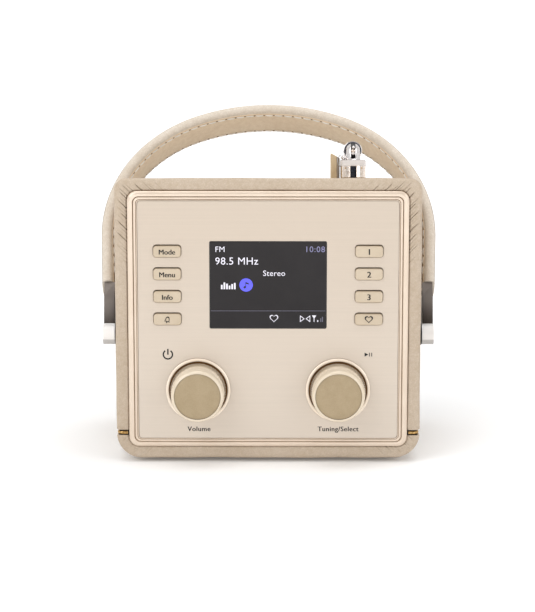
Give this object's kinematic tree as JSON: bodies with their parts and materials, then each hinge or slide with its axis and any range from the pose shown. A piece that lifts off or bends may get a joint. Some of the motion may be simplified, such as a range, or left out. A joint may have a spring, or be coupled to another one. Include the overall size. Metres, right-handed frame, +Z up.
{
  "type": "leather portable radio",
  "caption": "Table radio in a pale leather wrap with a brushed front, two knobs, push buttons, a colour display, a swinging strap handle and a telescopic aerial.",
  "frame": {"origin": "centre of the underside of the base pad, which the radio stands on", "axes": "+X to the right seen from the front, +Y to the back, +Z up"},
  "size_m": [0.1766, 0.153, 0.1699],
  "materials": {
    "leather": "fine pebble grain, pale biscuit",
    "lining_leather": "smooth, tan, two stitched rows",
    "cabinet_plastic": "matte",
    "brass_trim": "satin",
    "champagne_frame": "satin champagne",
    "brushed_panel": "horizontally brushed champagne",
    "window_glass": "dark gloss",
    "inner_metal": "plain",
    "circuit_board": "solder mask",
    "button_plastic": "satin beige",
    "knob_body": "gloss cream",
    "knob_face": "spun bronze",
    "collar_metal": "satin",
    "brass_rotor": "plain",
    "shaft_steel": "plain",
    "speaker_steel": "black",
    "speaker_paper": "pressed paper",
    "grille_metal": "satin",
    "back_plastic": "fine spark texture",
    "cell_jacket": "printed sleeve",
    "socket_plastic": "black",
    "pad_rubber": "matte",
    "black_fittings": "nylon",
    "bracket_chrome": "polished with satin faces",
    "antenna_chrome": "polished",
    "antenna_plastic": "satin beige"
  },
  "bodies": {
    "case": {"cabinet_shell": "cabinet_plastic", "upper_leather_wrap": "leather", "lower_leather_wrap": "leather", "seam_trims": "brass_trim", "front_bezel": "champagne_frame", "front_panel": "brushed_panel", "display_window": "window_glass", "display_module": "inner_metal", "front_circuit_board": "circuit_board", "tact_switches": "inner_metal", "volume_encoder": "inner_metal", "tuning_encoder": "inner_metal", "knob_collars": "collar_metal", "main_circuit_board": "circuit_board", "speaker_basket": "speaker_steel", "speaker_cone": "speaker_paper", "speaker_magnet": "speaker_steel", "speaker_grille": "grille_metal", "back_panel": "back_plastic", "case_screws": "shaft_steel", "battery_cells": "cell_jacket", "battery_contacts": "inner_metal", "headphone_socket": "socket_plastic", "power_socket": "inner_metal", "base_pad": "pad_rubber", "side_plates": "black_fittings", "pivot_bolts": "shaft_steel", "pivot_washers": "black_fittings", "antenna_base": "antenna_plastic", "antenna_rest": "antenna_plastic"},
    "battery_door": {"battery_door": "back_plastic"},
    "handle": {"handle_leather": "leather", "handle_lining": "lining_leather", "handle_core": "inner_metal", "left_handle_bracket": "bracket_chrome", "right_handle_bracket": "bracket_chrome", "strap_screws": "shaft_steel"},
    "volume_rotor": {"volume_rotor": "brass_rotor"},
    "volume_knob": {"volume_shaft": "shaft_steel", "volume_knob": "knob_body", "volume_knob_cap": "knob_face"},
    "tuning_rotor": {"tuning_rotor": "brass_rotor"},
    "tuning_knob": {"tuning_shaft": "shaft_steel", "tuning_knob": "knob_body", "tuning_knob_cap": "knob_face"},
    "antenna_swivel": {"antenna_fork": "antenna_chrome", "antenna_pin": "shaft_steel"},
    "antenna_rod": {"antenna_knuckle": "antenna_chrome", "antenna_tube_1": "antenna_chrome"},
    "antenna_tube_2": {"antenna_tube_2": "antenna_chrome"},
    "antenna_tube_3": {"antenna_tube_3": "antenna_chrome"},
    "antenna_tip": {"antenna_tip_rod": "antenna_chrome"},
    "mode_button": {"mode_button": "button_plastic"},
    "menu_button": {"menu_button": "button_plastic"},
    "info_button": {"info_button": "button_plastic"},
    "alarm_button": {"alarm_button": "button_plastic"},
    "preset_1_button": {"preset_1_button": "button_plastic"},
    "preset_2_button": {"preset_2_button": "button_plastic"},
    "preset_3_button": {"preset_3_button": "button_plastic"},
    "favourite_button": {"favourite_button": "button_plastic"}
  },
  "joints": [
    {"name": "handle_swing", "type": "hinge", "parent": "case", "child": "handle", "pos_m": [0, 0, 0.0565], "axis": [-1, 0, 0], "range_deg": [-45, 68]},
    {"name": "volume_turn", "type": "hinge", "parent": "case", "child": "volume_rotor", "pos_m": [-0.0351, 0, 0.0376], "axis": [0, 1, 0], "continuous": true},
    {"name": "volume_press", "type": "slide", "parent": "volume_rotor", "child": "volume_knob", "axis": [0, 1, 0], "range_m": [0, 0.0005], "stiffness_N_per_m": 3000},
    {"name": "tuning_turn", "type": "hinge", "parent": "case", "child": "tuning_rotor", "pos_m": [0.0351, 0, 0.0376], "axis": [0, 1, 0], "continuous": true},
    {"name": "tuning_press", "type": "slide", "parent": "tuning_rotor", "child": "tuning_knob", "axis": [0, 1, 0], "range_m": [0, 0.0005], "stiffness_N_per_m": 3000},
    {"name": "mode_press", "type": "slide", "parent": "case", "child": "mode_button", "axis": [0, 1, 0], "range_m": [0, 0.0006], "stiffness_N_per_m": 1500},
    {"name": "menu_press", "type": "slide", "parent": "case", "child": "menu_button", "axis": [0, 1, 0], "range_m": [0, 0.0006], "stiffness_N_per_m": 1500},
    {"name": "info_press", "type": "slide", "parent": "case", "child": "info_button", "axis": [0, 1, 0], "range_m": [0, 0.0006], "stiffness_N_per_m": 1500},
    {"name": "alarm_press", "type": "slide", "parent": "case", "child": "alarm_button", "axis": [0, 1, 0], "range_m": [0, 0.0006], "stiffness_N_per_m": 1500},
    {"name": "preset_1_press", "type": "slide", "parent": "case", "child": "preset_1_button", "axis": [0, 1, 0], "range_m": [0, 0.0006], "stiffness_N_per_m": 1500},
    {"name": "preset_2_press", "type": "slide", "parent": "case", "child": "preset_2_button", "axis": [0, 1, 0], "range_m": [0, 0.0006], "stiffness_N_per_m": 1500},
    {"name": "preset_3_press", "type": "slide", "parent": "case", "child": "preset_3_button", "axis": [0, 1, 0], "range_m": [0, 0.0006], "stiffness_N_per_m": 1500},
    {"name": "favourite_press", "type": "slide", "parent": "case", "child": "favourite_button", "axis": [0, 1, 0], "range_m": [0, 0.0006], "stiffness_N_per_m": 1500},
    {"name": "battery_door_swing", "type": "hinge", "parent": "case", "child": "battery_door", "pos_m": [0, 0.0457, 0.0137], "axis": [-1, 0, 0], "range_deg": [0, 95]},
    {"name": "antenna_turn", "type": "hinge", "parent": "case", "child": "antenna_swivel", "pos_m": [0.043, -0.0155, 0.13964], "axis": [0, 0.165, 0.9863], "range_deg": [-180, 0]},
    {"name": "antenna_raise", "type": "hinge", "parent": "antenna_swivel", "child": "antenna_rod", "pos_m": [0.043, -0.01302, 0.15444], "axis": [1, 0, 0], "range_deg": [0, 95]},
    {"name": "antenna_extend_2", "type": "slide", "parent": "antenna_rod", "child": "antenna_tube_2", "axis": [0, 0.9863, -0.165], "range_m": [0, 0.036]},
    {"name": "antenna_extend_3", "type": "slide", "parent": "antenna_tube_2", "child": "antenna_tube_3", "axis": [0, 0.9863, -0.165], "range_m": [0, 0.036]},
    {"name": "antenna_extend_tip", "type": "slide", "parent": "antenna_tube_3", "child": "antenna_tip", "axis": [0, 0.9863, -0.165], "range_m": [0, 0.036]}
  ],
  "couplings": [
    {"joint": "antenna_extend_3", "follows": "antenna_extend_2", "ratio": 1},
    {"joint": "antenna_extend_tip", "follows": "antenna_extend_2", "ratio": 1}
  ]
}
